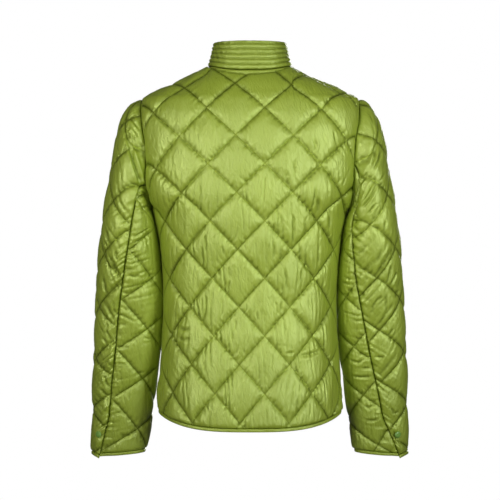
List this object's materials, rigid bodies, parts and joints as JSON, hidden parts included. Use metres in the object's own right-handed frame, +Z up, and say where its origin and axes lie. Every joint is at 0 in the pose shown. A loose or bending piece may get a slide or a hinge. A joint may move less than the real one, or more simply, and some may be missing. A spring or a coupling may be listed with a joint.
{
  "type": "quilted jacket held up by its wearer",
  "caption": "Short stand-collar quilted jacket in lime nylon, hollow and held in its worn shape, with long two-piece sleeves and stud-fastened cuff vents.",
  "frame": {"origin": "middle of the neck opening, level with the two neck points, where the wearer's shoulders hold the jacket up", "axes": "+Z up, +Y the way the jacket faces (its back faces -Y), +X towards the wearer's right arm"},
  "size_m": [0.56, 0.2458, 0.7221],
  "materials": {
    "quilted_nylon": "satin nylon, quilted in diamonds over light padding",
    "nylon_binding": "satin nylon, narrow stitched edge band",
    "plain_nylon": "satin nylon, flat and edge-stitched",
    "stud_cap": "smooth lacquered press-stud cap, dyed to match"
  },
  "bodies": {
    "root": {"back_panel": "quilted_nylon", "front_left": "quilted_nylon", "front_right": "quilted_nylon", "top_sleeve_left_head": "quilted_nylon", "top_sleeve_left_elbow": "quilted_nylon", "top_sleeve_left_cuff": "quilted_nylon", "under_sleeve_left": "quilted_nylon", "top_sleeve_right_head": "quilted_nylon", "top_sleeve_right_elbow": "quilted_nylon", "top_sleeve_right_cuff": "quilted_nylon", "under_sleeve_right": "quilted_nylon", "collar": "quilted_nylon", "hem_binding": "nylon_binding", "cuff_binding_left": "nylon_binding", "cuff_binding_right": "nylon_binding", "front_placket": "plain_nylon", "front_stud_1": "stud_cap", "front_stud_2": "stud_cap", "front_stud_3": "stud_cap", "front_stud_4": "stud_cap", "front_stud_5": "stud_cap", "front_stud_6": "stud_cap", "cuff_stud_left": "stud_cap", "cuff_stud_right": "stud_cap"}
  },
  "joints": []
}
